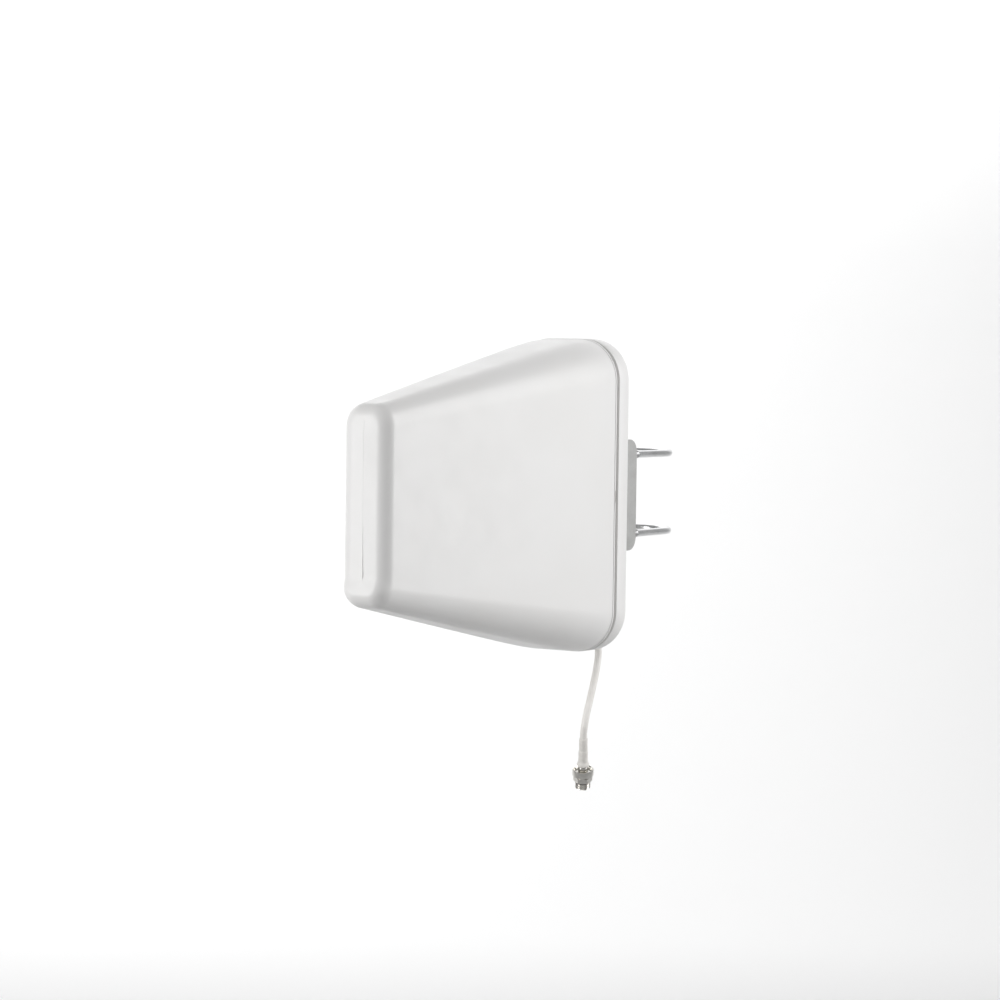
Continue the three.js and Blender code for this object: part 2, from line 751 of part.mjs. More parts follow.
const upright = [0, 0, 0];
const cableGrip = CABLE_RADIUS + GAP;
add('cable_boot', leaned(turned([
  [16.8, cableGrip],
  [16.8, 3.9],
  [17.6, 4.3],
  [18.4, 4.2],
  [20.6, 3.3],
  [28.2, 3.2],
  [29, 2.95],
  [38, 2.95],
  [38, cableGrip],
  [16.8, cableGrip],
], 24, 'z', upright)), finish.boot());

function threadProfile(from, to, valley, crest, pitch) {
  const points = [];
  for (let a = from; a + pitch <= to; a += pitch) {
    points.push([a, valley], [a + pitch * 0.4, crest], [a + pitch * 0.6, crest], [a + pitch, valley]);
  }
  return points;
}

// Threaded barrel, neck and cup in one
add('jack_body', leaned(turned([
  [0, 3.4],
  [0, 4.6],
  ...threadProfile(0.4, 4.7, 4.75, 5.3, 0.85),
  [4.9, 4.4],
  [10, 4.4],
  [10, 7],
  [10.4, 7.4],
  [14.2, 7.4],
  [14.6, 7.1],
  [14.6, 6.3],
  [12.6, 5.7],
  [12.6, 3.4],
  [16.4, 3.3],
  [16.4, cableGrip],
  [12.2, cableGrip],
  [12.2, 3.4],
  [0, 3.4],
], 36, 'z', upright)), finish.nickel());

function jackHexBody() {
  const blank = solid(turned([[5.3, 0], [5.3, 6.6], [9.6, 6.6], [9.6, 0]], 6, 'z', upright));
  return blank.subtract(solid(rod(4.4 + GAP, 4, 11, 'z', upright, 36)));
}

add('jack_hex', leaned(geometryOf(jackHexBody())), finish.nickel());
add('jack_insulator', leaned(sleeve(0.8, 3.1, 1.2, 11.8, 'z', upright, 24)), finish.ptfe());
add('jack_contact', leaned(rod(0.5, 0.4, 12, 'z', upright, 16)), finish.brass());

export default root;
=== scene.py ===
import json
import math

import bmesh
import bpy
from mathutils import Matrix, Vector


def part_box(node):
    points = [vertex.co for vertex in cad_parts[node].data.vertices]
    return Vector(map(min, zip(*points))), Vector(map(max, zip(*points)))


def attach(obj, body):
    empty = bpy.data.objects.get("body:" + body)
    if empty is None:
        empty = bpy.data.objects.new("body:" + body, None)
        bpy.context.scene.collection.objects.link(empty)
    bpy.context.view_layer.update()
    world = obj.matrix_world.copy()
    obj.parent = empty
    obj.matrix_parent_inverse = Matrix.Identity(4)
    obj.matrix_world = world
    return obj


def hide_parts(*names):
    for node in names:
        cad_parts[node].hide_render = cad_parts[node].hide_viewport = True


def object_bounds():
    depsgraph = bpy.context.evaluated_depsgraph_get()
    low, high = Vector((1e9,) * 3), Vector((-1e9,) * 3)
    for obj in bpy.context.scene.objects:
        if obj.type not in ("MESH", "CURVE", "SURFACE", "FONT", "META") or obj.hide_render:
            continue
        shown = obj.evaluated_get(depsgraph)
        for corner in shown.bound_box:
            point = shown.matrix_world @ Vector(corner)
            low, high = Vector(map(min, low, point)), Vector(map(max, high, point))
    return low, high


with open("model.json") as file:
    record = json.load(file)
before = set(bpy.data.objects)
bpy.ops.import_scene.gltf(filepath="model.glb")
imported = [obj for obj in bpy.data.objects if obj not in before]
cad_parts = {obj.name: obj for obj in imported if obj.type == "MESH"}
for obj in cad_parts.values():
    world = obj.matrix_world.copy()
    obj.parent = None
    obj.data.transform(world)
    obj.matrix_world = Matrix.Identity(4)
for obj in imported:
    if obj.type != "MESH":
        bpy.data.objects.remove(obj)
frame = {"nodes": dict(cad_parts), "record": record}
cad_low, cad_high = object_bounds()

MM = 0.001
ROOT = "housing"

# ---------------------------------------------------------------- places, worked out from the frame

cover_low, cover_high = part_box("rear_cover")
gland_low, gland_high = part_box("cable_gland")

BACK_X = cover_low.x
RIM_HALF_Y = cover_high.y
RIM_HALF_Z = cover_high.z
OUTLET_Z = (gland_low.z + gland_high.z) / 2

# Housing sizes that the boxes alone can't give, the same as in the part's source
HOUSING_LENGTH = 252.5 * MM
RIM_RADIUS = 28 * MM
SHOULDER = 18 * MM
NOSE_HALF_Z = 61 * MM
NOSE_HALF_Y = 16.7 * MM
NOSE_RADIUS_Z = 13 * MM
NOSE_RADIUS_Y = 12 * MM
NOSE_ROUND = 8.4 * MM
NOSE_CROWN = 0.5 * MM
CHIN = 2.8 * MM
CHIN_TOP_Z = -42 * MM
CHIN_FULL_Z = -54 * MM
WALL = 2.5 * MM
COVER_DEPTH = 14.1 * MM
SEAM = 3 * MM
SHELL_START = COVER_DEPTH + SEAM
BEAD_WIDTH = 1.6 * MM
BEAD_RISE = 0.5 * MM
BEAD_FADE = 3 * MM
SPIGOT_INSET = BEAD_RISE + WALL + 0.4 * MM
SPIGOT_LENGTH = 8 * MM
SPIGOT_DRAFT = 0.6 * MM
COVER_INNER = SPIGOT_INSET + 2.2 * MM
COVER_EDGE = 2.6 * MM
NOTCH_HEIGHT = 8 * MM
NOTCH_DEPTH = 1.1 * MM
DRAIN_RADIUS = 1.3 * MM
DRAIN_BACK = 18 * MM
LEAST_CORNER = 1.2 * MM
GLAND_HOLE = 5.2 * MM

UBOLT_RADIUS = 2.5 * MM
UBOLT_LEG_Y = 26.95 * MM
UBOLT_LEG_X = 64 * MM
UBOLT_PITCH = 0.8 * MM
UBOLT_THREADED = 26 * MM
UBOLT_THREAD_DEPTH = 0.42 * MM
UBOLT_LEAD_IN = 0.8 * MM
UBOLT_TIP_DROP = 0.5 * MM
NUT_FLATS = 8 * MM
NUT_BORE = 2.62 * MM
NUT_SEAT_SHARE = 0.96
WASHER_BORE = 2.8 * MM
WASHER_RADIUS = 4.5 * MM
CABLE_RADIUS = 2.4 * MM
JACK_AT = Vector((44.7, -8.3, -204)) * MM
JACK_TILT = math.radians(20)
JACK_BEARING = math.radians(31)
JACK_AXIS = Vector((
    math.sin(JACK_TILT) * math.cos(JACK_BEARING),
    math.sin(JACK_TILT) * math.sin(JACK_BEARING),
    math.cos(JACK_TILT),
))
JACK_RADIUS = 5.3 * MM
JACK_PITCH = 0.85 * MM
JACK_THREAD_DEPTH = 0.5 * MM
JACK_THREADED = 4.7 * MM
JACK_TURN = Vector((0, 0, 1)).rotation_difference(JACK_AXIS).to_matrix()

# ---------------------------------------------------------------- camera

VIEW_ANGLE = math.radians(59.2)
VIEW_HEIGHT = math.radians(2.5)
VIEW_ROLL = math.radians(0.8)
VIEW_DISTANCE = 2.0
FOCAL_MM = 106.2
SHIFT_X = -0.0768
SHIFT_Y = -0.0061


def make_camera():
    """The camera looks at the middle of the cover's back face from the nose's side."""
    toward = Vector((
        math.sin(VIEW_ANGLE) * math.cos(VIEW_HEIGHT),
        math.cos(VIEW_ANGLE) * math.cos(VIEW_HEIGHT),
        math.sin(VIEW_HEIGHT),
    ))
    level = Vector((-math.cos(VIEW_ANGLE), math.sin(VIEW_ANGLE), 0))
    upward = toward.cross(level)
    right = level * math.cos(VIEW_ROLL) + upward * math.sin(VIEW_ROLL)
    up = upward * math.cos(VIEW_ROLL) - level * math.sin(VIEW_ROLL)
    data = bpy.data.cameras.new("camera")
    data.sensor_width = 36
    data.lens = FOCAL_MM
    data.shift_x = SHIFT_X
    data.shift_y = SHIFT_Y
    camera = bpy.data.objects.new("camera", data)
    place = Vector((BACK_X, 0, 0)) + toward * VIEW_DISTANCE
    camera.matrix_world = Matrix((
        (right.x, up.x, toward.x, place.x),
        (right.y, up.y, toward.y, place.y),
        (right.z, up.z, toward.z, place.z),
        (0, 0, 0, 1),
    ))
    bpy.context.scene.collection.objects.link(camera)
    bpy.context.scene.camera = camera
    return camera


make_camera()

# ---------------------------------------------------------------- node materials


class Shader:
    """A Principled material with a few node helpers."""

    def __init__(self, name, color, roughness, metallic=0.0, **sockets):
        self.material = bpy.data.materials.new(name)
        self.material.use_nodes = True
        self.tree = self.material.node_tree
        self.bsdf = self.tree.nodes["Principled BSDF"]
        self.color = color
        self.set("Base Color", (*color, 1))
        self.set("Roughness", roughness)
        self.set("Metallic", metallic)
        for socket, value in sockets.items():
            self.set(socket.replace("_", " "), value)
        self.place = self.tree.nodes.new("ShaderNodeTexCoord").outputs["Object"]

    def set(self, socket, value):
        self.bsdf.inputs[socket].default_value = value

    def link(self, source, target):
        self.tree.links.new(source, target)

    def noise(self, scale, detail=3, stretch=None):
        node = self.tree.nodes.new("ShaderNodeTexNoise")
        node.inputs["Scale"].default_value = scale
        node.inputs["Detail"].default_value = detail
        if stretch is None:
            self.link(self.place, node.inputs["Vector"])
        else:
            mapping = self.tree.nodes.new("ShaderNodeMapping")
            mapping.inputs["Scale"].default_value = stretch
            self.link(self.place, mapping.inputs["Vector"])
            self.link(mapping.outputs["Vector"], node.inputs["Vector"])
        return node.outputs["Fac"]

    def spread(self, value, low, high):
        """Remaps a noise value's middle range to low..high."""
        node = self.tree.nodes.new("ShaderNodeMapRange")
        node.inputs["From Min"].default_value = 0.3
        node.inputs["From Max"].default_value = 0.7
        node.inputs["To Min"].default_value = low
        node.inputs["To Max"].default_value = high
        self.link(value, node.inputs["Value"])
        return node.outputs["Result"]

    def roughen(self, value, low, high):
        self.link(self.spread(value, low, high), self.bsdf.inputs["Roughness"])

    def tint(self, value, other):
        """Mixes the base colour towards another by a noise value."""
        node = self.tree.nodes.new("ShaderNodeMix")
        node.data_type = "RGBA"
        node.inputs["A"].default_value = (*self.color, 1)
        node.inputs["B"].default_value = (*other, 1)
        self.link(self.spread(value, 0, 1), node.inputs["Factor"])
        self.link(node.outputs["Result"], self.bsdf.inputs["Base Color"])

    def bump(self, layers):
        """layers = [(height value, distance in metres, strength)], stacked."""
        last = None
        for value, distance, strength in layers:
            node = self.tree.nodes.new("ShaderNodeBump")
            node.inputs["Distance"].default_value = distance
            node.inputs["Strength"].default_value = strength
            self.link(value, node.inputs["Height"])
            if last is not None:
                self.link(last, node.inputs["Normal"])
            last = node.outputs["Normal"]
        self.link(last, self.bsdf.inputs["Normal"])


def housing_plastic():
    s = Shader("housing_plastic", (0.86, 0.855, 0.85), 0.36, IOR=1.5)
    s.tint(s.noise(14, 2), (0.845, 0.838, 0.828))
    s.roughen(s.noise(60, 4), 0.31, 0.4)
    s.bump([(s.noise(2600, 2), 0.00002, 0.35), (s.noise(35, 2), 0.0004, 0.06)])
    return s.material


def gasket_rubber():
    s = Shader("gasket_rubber", (0.72, 0.71, 0.68), 0.8)
    s.tint(s.noise(120), (0.66, 0.65, 0.62))
    s.bump([(s.noise(3000, 3), 0.00003, 0.5)])
    return s.material


def mill_aluminium():
    s = Shader("mill_aluminium", (0.72, 0.73, 0.74), 0.38, 1.0)
    s.tint(s.noise(40, 4), (0.64, 0.65, 0.665))
    s.roughen(s.noise(900, 3, (0.03, 1, 1)), 0.3, 0.48)
    s.bump([(s.noise(2200, 2, (0.02, 1, 1)), 0.00002, 0.3)])
    return s.material


def plain_brass():
    s = Shader("plain_brass", (0.72, 0.56, 0.28), 0.32, 1.0)
    s.tint(s.noise(300, 4), (0.6, 0.44, 0.2))
    s.roughen(s.noise(900), 0.24, 0.44)
    s.bump([(s.noise(3000), 0.00002, 0.2)])
    return s.material


def moulded_nylon():
    s = Shader("moulded_nylon", (0.76, 0.74, 0.68), 0.5, Subsurface_Weight=0.05)
    s.tint(s.noise(60), (0.72, 0.69, 0.62))
    s.roughen(s.noise(200), 0.44, 0.6)
    s.bump([(s.noise(2500), 0.00003, 0.3)])
    return s.material


def blasted_zinc():
    s = Shader("blasted_zinc", (0.42, 0.42, 0.415), 0.44, 0.85)
    s.tint(s.noise(90, 5), (0.36, 0.36, 0.355))
    s.roughen(s.noise(500, 4), 0.38, 0.56)
    s.bump([(s.noise(4200, 3), 0.00004, 0.4)])
    return s.material


def bright_steel():
    s = Shader("bright_steel", (0.78, 0.785, 0.79), 0.2, 1.0)
    s.tint(s.noise(220, 4), (0.68, 0.685, 0.69))
    s.roughen(s.noise(700, 4), 0.14, 0.28)
    s.bump([(s.noise(1800, 2), 0.00002, 0.15)])
    return s.material


def nickel_plate():
    s = Shader("nickel_plate", (0.76, 0.745, 0.71), 0.16, 1.0)
    s.tint(s.noise(500, 4), (0.66, 0.645, 0.61))
    s.roughen(s.noise(900, 4), 0.1, 0.22)
    s.bump([(s.noise(3500, 2), 0.00001, 0.2)])
    return s.material


def cable_jacket():
    s = Shader("cable_jacket", (0.78, 0.765, 0.74), 0.42, IOR=1.48)
    s.tint(s.noise(90, 3), (0.74, 0.72, 0.69))
    s.roughen(s.noise(400, 3), 0.36, 0.5)
    s.bump([(s.noise(1500, 2), 0.00003, 0.25)])
    return s.material


def shrink_sleeve():
    s = Shader("shrink_sleeve", (0.7, 0.685, 0.655), 0.55)
    s.tint(s.noise(300, 3), (0.64, 0.62, 0.59))
    s.roughen(s.noise(600, 3), 0.45, 0.65)
    s.bump([(s.noise(700, 2), 0.00008, 0.35), (s.noise(4000, 2), 0.00002, 0.3)])
    return s.material


def white_ptfe():
    s = Shader("white_ptfe", (0.88, 0.88, 0.87), 0.45, Subsurface_Weight=0.05)
    s.tint(s.noise(300), (0.84, 0.84, 0.83))
    s.bump([(s.noise(2500), 0.00001, 0.2)])
    return s.material


FINISHES = {
    "housing": housing_plastic(),
    "seal": gasket_rubber(),
    "aluminium": mill_aluminium(),
    "brass": plain_brass(),
    "nylon": moulded_nylon(),
    "bracket": blasted_zinc(),
    "steel": bright_steel(),
    "nickel": nickel_plate(),
    "jacket": cable_jacket(),
    "boot": shrink_sleeve(),
    "ptfe": white_ptfe(),
}

# ---------------------------------------------------------------- mesh helpers


def new_piece(name, vertices, faces, slot, body=ROOT, replaces=(), sharp=40):
    mesh = bpy.data.meshes.new(name)
    mesh.from_pydata([tuple(v) for v in vertices], [], faces)
    mesh.validate()
    mesh.polygons.foreach_set("use_smooth", [True] * len(mesh.polygons))
    bm = bmesh.new()
    bm.from_mesh(mesh)
    bmesh.ops.recalc_face_normals(bm, faces=bm.faces)
    bm.to_mesh(mesh)
    bm.free()
    mesh.set_sharp_from_angle(angle=math.radians(sharp))
    piece = bpy.data.objects.new(name, mesh)
    bpy.context.scene.collection.objects.link(piece)
    mesh.materials.append(FINISHES[slot])
    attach(piece, body)
    if replaces:
        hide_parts(*replaces)
    return piece


def skin(loops, closed=False, caps=None):
    """Vertices and faces over a run of equal loops; caps = (first tip, last tip) closes the ends."""
    count = len(loops[0])
    vertices = [v for loop in loops for v in loop]
    faces = []
    pairs = [(k, k + 1) for k in range(len(loops) - 1)]
    if closed:
        pairs.append((len(loops) - 1, 0))
    for k, m in pairs:
        for i in range(count):
            j = (i + 1) % count
            faces.append((k * count + i, k * count + j, m * count + j, m * count + i))
    if caps is not None:
        first = len(vertices)
        vertices += [caps[0], caps[1]]
        last = (len(loops) - 1) * count
        for i in range(count):
            j = (i + 1) % count
            faces.append((first, j, i))
            faces.append((first + 1, last + i, last + j))
    return vertices, faces


def cut_away(piece, vertices, faces):
    """Cuts a closed tool mesh out of a piece for good."""
    mesh = bpy.data.meshes.new("tool")
    mesh.from_pydata([tuple(v) for v in vertices], [], faces)
    bm = bmesh.new()
    bm.from_mesh(mesh)
    bmesh.ops.recalc_face_normals(bm, faces=bm.faces)
    bm.to_mesh(mesh)
    bm.free()
    tool = bpy.data.objects.new("tool", mesh)
    bpy.context.scene.collection.objects.link(tool)
    cut = piece.modifiers.new("cut", "BOOLEAN")
    cut.operation = "DIFFERENCE"
    cut.solver = "EXACT"
    cut.object = tool
    graph = bpy.context.evaluated_depsgraph_get()
    result = bpy.data.meshes.new_from_object(piece.evaluated_get(graph))
    piece.modifiers.remove(cut)
    piece.data = result
    bpy.data.objects.remove(tool)


def box_mesh(low, high):
    (x0, y0, z0), (x1, y1, z1) = low, high
    vertices = [(x, y, z) for x in (x0, x1) for y in (y0, y1) for z in (z0, z1)]
    faces = [(0, 1, 3, 2), (4, 6, 7, 5), (0, 4, 5, 1), (2, 3, 7, 6), (0, 2, 6, 4), (1, 5, 7, 3)]
    return vertices, faces


def along(axis, at, a, r, angle):
    """A point at distance a along an axis through at, radius r and angle round it."""
    c, s = r * math.cos(angle), r * math.sin(angle)
    if axis == "x":
        return Vector(at) + Vector((a, c, s))
    if axis == "jack":
        return Vector(at) + JACK_TURN @ Vector((c, s, a))
    return Vector(at) + Vector((c, s, a))


def turned(profile, axis, at, count=48):
    """A turned body from a closed ring profile [(along, radius)]."""
    loops = []
    for a, r in profile:
        loops.append([along(axis, at, a, r, 2 * math.pi * i / count) for i in range(count)])
    return skin(loops, closed=True)


def drill(start, end, radius, axis, at, count):
    """A closed tool for cutting a round hole, with a pin-thin core."""
    core = 0.01 * MM
    return turned([(start, core), (start, radius), (end, radius), (end, core)], axis, at, count)


def rounded(profile, radius, steps=3):
    """Rounds the corners of a closed profile of (along, radius) points."""
    result = []
    total = len(profile)
    for i, corner in enumerate(profile):
        here = Vector(corner)
        before = Vector(profile[i - 1]) - here
        after = Vector(profile[(i + 1) % total]) - here
        reach = min(radius, before.length * 0.45, after.length * 0.45)
        start = here + before.normalized() * reach
        end = here + after.normalized() * reach
        for k in range(steps + 1):
            t = k / steps
            point = start * (1 - t) ** 2 + here * 2 * t * (1 - t) + end * t ** 2
            result.append((point.x, point.y))
    return result


def smooth_path(points, per_span=10):
    """Centripetal Catmull-Rom through the points, as the part's source draws it."""
    pts = [Vector(p) for p in points]
    ends = [pts[0] * 2 - pts[1], *pts, pts[-1] * 2 - pts[-2]]
    path = []
    for i in range(1, len(ends) - 2):
        p0, p1, p2, p3 = ends[i - 1:i + 3]
        t1 = max((p1 - p0).length ** 0.5, 1e-9)
        t2 = t1 + (p2 - p1).length ** 0.5
        t3 = t2 + (p3 - p2).length ** 0.5
        for k in range(per_span):
            t = t1 + (t2 - t1) * k / per_span
            a1 = p0 * ((t1 - t) / t1) + p1 * (t / t1)
            a2 = p1 * ((t2 - t) / (t2 - t1)) + p2 * ((t - t1) / (t2 - t1))
            a3 = p2 * ((t3 - t) / (t3 - t2)) + p3 * ((t - t2) / (t3 - t2))
            b1 = a1 * ((t2 - t) / t2) + a2 * (t / t2)
            b2 = a2 * ((t3 - t) / (t3 - t1)) + a3 * ((t - t1) / (t3 - t1))
            path.append(b1 * ((t2 - t) / (t2 - t1)) + b2 * ((t - t1) / (t2 - t1)))
    path.append(pts[-1])
    return path


def tube(path, radius, count=32):
    """Capped tube along a path; radius is a number or a function of (share along, angle)."""
    loops = []
    side = None
    length = [0.0]
    for a, b in zip(path, path[1:]):
        length.append(length[-1] + (b - a).length)
    for i, point in enumerate(path):
        ahead = (path[min(i + 1, len(path) - 1)] - path[max(i - 1, 0)]).normalized()
        if side is None:
            side = ahead.orthogonal().normalized()
        side = (side - ahead * side.dot(ahead)).normalized()
        other = ahead.cross(side)
        loop = []
        for k in range(count):
            angle = 2 * math.pi * k / count
            r = radius(length[i], angle) if callable(radius) else radius
            loop.append(point + side * r * math.cos(angle) + other * r * math.sin(angle))
        loops.append(loop)
    return skin(loops, caps=(path[0], path[-1]))


# ---------------------------------------------------------------- lead

LEAD_POINTS_MM = [
    (9, 0, 0),
    (8, 0, 0),
    (-4, 0, 0),
    (-15, 0, 0),
    (-25, 0, -4),
    (-31, -0.3, -13),
    (-32.2, -0.2, -24),
    (-28.8, 0.5, -33.6),
    (-25.3, 0.9, -41),
    (-18.9, 1.4, -54),
    (-15.2, 1, -64),
    (-14.1, 0.3, -71.5),
]
LEAD_ROUTE = [Vector((BACK_X, 0, OUTLET_Z)) + Vector(p) * MM for p in LEAD_POINTS_MM]
LEAD_ON_JACK_MM = (41, 38, 12.5)
LEAD_ROUTE += [JACK_AT + JACK_AXIS * a * MM for a in LEAD_ON_JACK_MM]
GLAND_MOUTH = BACK_X - 13 * MM


def make_lead():
    path = smooth_path(LEAD_ROUTE, 14)
    split = next(i for i, p in enumerate(path) if p.x < GLAND_MOUTH)
    mouth = Vector((GLAND_MOUTH, 0, path[split].z))
    inside = path[:split] + [mouth]
    outside = [mouth] + path[split:]
    new_piece("lead_inside_gland", *tube(inside, CABLE_RADIUS), "jacket")
    lead = new_piece("lead", *tube(outside, CABLE_RADIUS), "jacket", replaces=["coax_cable"])
    length = sum((b - a).length for a, b in zip(outside, outside[1:]))
    return lead, outside, length


lead, lead_path, lead_length = make_lead()

# ---------------------------------------------------------------- housing


# Shares of each straight upright side that carry a point, closer together where the chin starts
SIDE_SHARES = (0.02, 0.04, 0.06, 0.09, 0.3, 0.5, 0.7, 0.91, 0.94, 0.96, 0.98)
END_SHARES = (0.25, 0.5, 0.75)


def chin_share(z):
    """How much of the chin's lean a point at height z takes, easing from none to all."""
    share = min(max((z - CHIN_TOP_Z) / (CHIN_FULL_Z - CHIN_TOP_Z), 0), 1)
    return share * share * (3 - 2 * share)


def outline(half_y, half_z, radius_y, radius_z, steps=16):
    """Rounded rectangle in the Y-Z plane as a list of (y, z)."""
    corners = []
    for sy, sz, quarter in ((1, 1, 0), (-1, 1, 1), (-1, -1, 2), (1, -1, 3)):
        arc = []
        for i in range(steps + 1):
            angle = (quarter + i / steps) * math.pi / 2
            y = sy * (half_y - radius_y) + radius_y * math.cos(angle)
            z = sz * (half_z - radius_z) + radius_z * math.sin(angle)
            arc.append((y, z))
        corners.append(arc)
    points = []
    for i, arc in enumerate(corners):
        points += arc
        (y0, z0), (y1, z1) = arc[-1], corners[(i + 1) % 4][0]
        for t in (SIDE_SHARES if i % 2 else END_SHARES):
            points.append((y0 + (y1 - y0) * t, z0 + (z1 - z0) * t))
    return points


def flare_run(b):
    return math.hypot(b - SHELL_START, SHOULDER) - SHOULDER


def shell_loop(b, inset):
    u = flare_run(b) / flare_run(HOUSING_LENGTH - NOSE_CROWN)
    trim = inset
    lean = 0
    start = HOUSING_LENGTH - NOSE_CROWN - NOSE_ROUND
    if b > start:
        share = min((b - start) / (NOSE_ROUND - max(inset, 0)), 1)
        trim += (NOSE_ROUND - max(inset, 0)) * (1 - math.sqrt(max(1 - share * share, 0)))
        lean = CHIN * share

    def mix(rim, nose):
        return rim + (nose - rim) * u

    half_y = mix(RIM_HALF_Y - BEAD_RISE, NOSE_HALF_Y) - trim
    half_z = mix(RIM_HALF_Z - BEAD_RISE, NOSE_HALF_Z) - trim
    radius_y = max(mix(RIM_RADIUS, NOSE_RADIUS_Y) - trim, LEAST_CORNER)
    radius_z = max(mix(RIM_RADIUS, NOSE_RADIUS_Z) - trim, LEAST_CORNER)
    return [(BACK_X + b + lean * chin_share(z), y, z)
            for y, z in outline(half_y, half_z, radius_y, radius_z)]


def nose_stations(inset, steps=12):
    reach = NOSE_ROUND - inset
    base = HOUSING_LENGTH - NOSE_CROWN - NOSE_ROUND
    return [base + reach * math.sin(k / steps * math.pi / 2) for k in range(steps + 1)]


def face_loops():
    """Rings across the flat of the nose, so that the chin's lean dies out smoothly."""
    half_y = NOSE_HALF_Y - NOSE_ROUND
    half_z = NOSE_HALF_Z - NOSE_ROUND
    loops = []
    for share in (0.2, 0.4, 0.6, 0.8, 0.92):
        shrink = half_y * share
        radius_y = (NOSE_RADIUS_Y - NOSE_ROUND) * (1 - share)
        radius_z = (NOSE_RADIUS_Z - NOSE_ROUND) * (1 - share)
        points = outline(half_y - shrink, half_z - shrink, radius_y, radius_z)
        x = BACK_X + HOUSING_LENGTH - NOSE_CROWN * (1 - share)
        loops.append([(x + CHIN * chin_share(z), y, z) for y, z in points])
    return loops


def make_shell():
    bead_end = SHELL_START + BEAD_WIDTH
    body_end = HOUSING_LENGTH - NOSE_CROWN - NOSE_ROUND
    settle = bead_end + BEAD_FADE
    run = [settle + (body_end - settle) * (k / 36) ** 1.3 for k in range(1, 36)]
    bead = []
    for k in range(7):
        angle = k / 6 * math.pi
        b = SHELL_START + BEAD_WIDTH * (0.5 - 0.5 * math.cos(angle))
        bead.append(shell_loop(b, -BEAD_RISE * min(1, math.sin(angle) * 1.4 + 0.35)))
    loops = list(bead)
    for t in (0.33, 0.66, 1):
        loops.append(shell_loop(bead_end + t * BEAD_FADE, -BEAD_RISE * 0.3 * (1 - t) ** 2))
    loops += [shell_loop(b, 0) for b in run]
    loops += [shell_loop(b, 0) for b in nose_stations(0)] + face_loops()
    inner_run = run[::4]
    inner = [shell_loop(SHELL_START, WALL)]
    inner += [shell_loop(b, WALL) for b in inner_run]
    inner += [shell_loop(b, WALL) for b in nose_stations(WALL, 5)]
    tip = (BACK_X + HOUSING_LENGTH, 0, 0)
    inner_tip = (BACK_X + HOUSING_LENGTH - WALL, 0, 0)
    loops = list(reversed(loops)) + inner
    shell = new_piece("housing_shell", *skin(loops, caps=(tip, inner_tip)), "housing",
                      replaces=["radome_shell"], sharp=50)
    drain_x = BACK_X + HOUSING_LENGTH - DRAIN_BACK
    cut_away(shell, *drill(-80 * MM, -50 * MM, DRAIN_RADIUS, "z", (drain_x, 0, 0), 24))
    half = NOTCH_HEIGHT / 2
    start_x = BACK_X + SHELL_START
    for side in (1, -1):
        ys = sorted((side * (RIM_HALF_Y - NOTCH_DEPTH), side * (RIM_HALF_Y + 1 * MM)))
        cut_away(shell, *box_mesh((start_x - 1 * MM, ys[0], -half), (start_x + NOTCH_DEPTH, ys[1], half)))
    return shell


def make_parting_line():
    """The faint raised line the mould's halves leave down the middle of the nose."""
    half_width = 0.2 * MM
    proud = 0.05 * MM
    reach = NOSE_HALF_Z - NOSE_ROUND
    face_x = BACK_X + HOUSING_LENGTH
    loops = []
    steps = 60
    for k in range(steps + 1):
        z = -0.75 * reach + 1.75 * reach * k / steps
        crown = NOSE_CROWN * min(max((abs(z) / reach - 0.86) / 0.14, 0), 1)
        x = face_x - crown + CHIN * chin_share(z)
        loops.append([(x - proud, -half_width, z), (x + proud, -half_width * 0.4, z),
                      (x + proud, half_width * 0.4, z), (x - proud, half_width, z)])
    first, last = loops[0], loops[-1]
    ends = [tuple(sum(v) / 4 for v in zip(*loop)) for loop in (first, last)]
    new_piece("parting_line", *skin(loops, caps=ends), "housing")


def rim_loop(b, inset):
    radius = RIM_RADIUS - inset
    return [(BACK_X + b, y, z)
            for y, z in outline(RIM_HALF_Y - inset, RIM_HALF_Z - inset, radius, radius)]


def make_cover():
    loops = []
    for k in range(9):
        angle = k / 8 * math.pi / 2
        loops.append(rim_loop(COVER_EDGE * (1 - math.cos(angle)), COVER_EDGE * (1 - math.sin(angle))))
    edge = 0.35 * MM
    spigot_end = COVER_DEPTH + SPIGOT_LENGTH
    stations = [
        (COVER_DEPTH - edge, 0),
        (COVER_DEPTH - 0.1 * MM, 0.1 * MM),
        (COVER_DEPTH, edge),
        (COVER_DEPTH, SPIGOT_INSET),
        (spigot_end, SPIGOT_INSET + SPIGOT_DRAFT),
        (spigot_end, COVER_INNER),
        (WALL + 1 * MM, COVER_INNER),
        (WALL, COVER_INNER + 1 * MM),
    ]
    loops += [rim_loop(b, inset) for b, inset in stations]
    tips = ((BACK_X, 0, 0), (BACK_X + WALL, 0, 0))
    cover = new_piece("housing_cover", *skin(loops, caps=tips), "housing",
                      replaces=["rear_cover"], sharp=50)
    cut_away(cover, *drill(-3 * MM, 4 * MM, GLAND_HOLE, "x", (BACK_X, 0, OUTLET_Z), 40))
    return cover


make_shell()
make_parting_line()
make_cover()

# ---------------------------------------------------------------- clamp hardware


